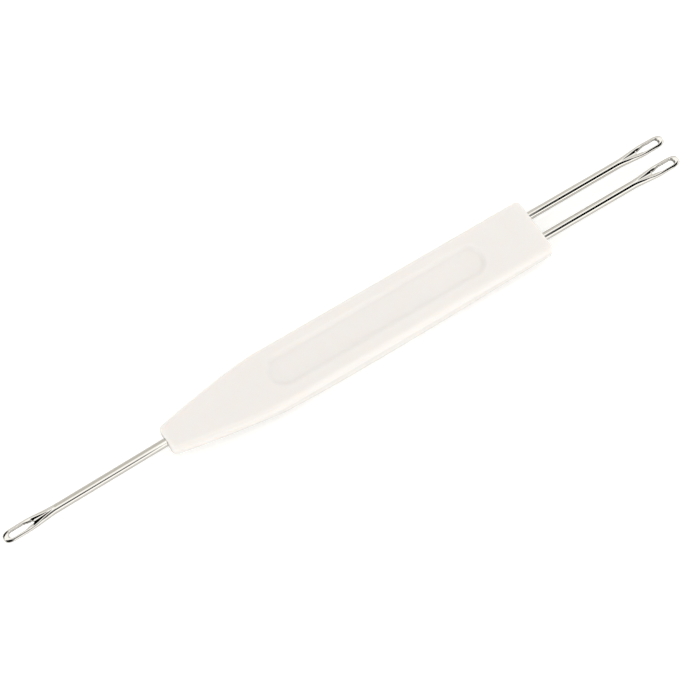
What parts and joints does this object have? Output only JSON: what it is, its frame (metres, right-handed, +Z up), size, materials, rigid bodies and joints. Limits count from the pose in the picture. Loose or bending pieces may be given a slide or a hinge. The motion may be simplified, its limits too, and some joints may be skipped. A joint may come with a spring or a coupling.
{
  "type": "knitting machine transfer tool",
  "caption": "Slim moulded handle with a thumb groove, an eyed wire prong at its tapered nose and twin eyed prongs at its square end, for moving stitches between needles.",
  "frame": {"origin": "middle of the flat rest face under the handle", "axes": "+X along the handle towards the twin prongs, +Z up out of the face with the thumb groove"},
  "size_m": [0.1279, 0.0108, 0.0046],
  "materials": {
    "handle_plastic": "smooth satin white moulding",
    "prong_wire": "polished bright plating"
  },
  "bodies": {
    "root": {"handle": "handle_plastic", "nose_prong": "prong_wire", "nose_eye": "prong_wire", "twin_prong_left": "prong_wire", "twin_eye_left": "prong_wire", "twin_prong_right": "prong_wire", "twin_eye_right": "prong_wire"}
  },
  "joints": []
}
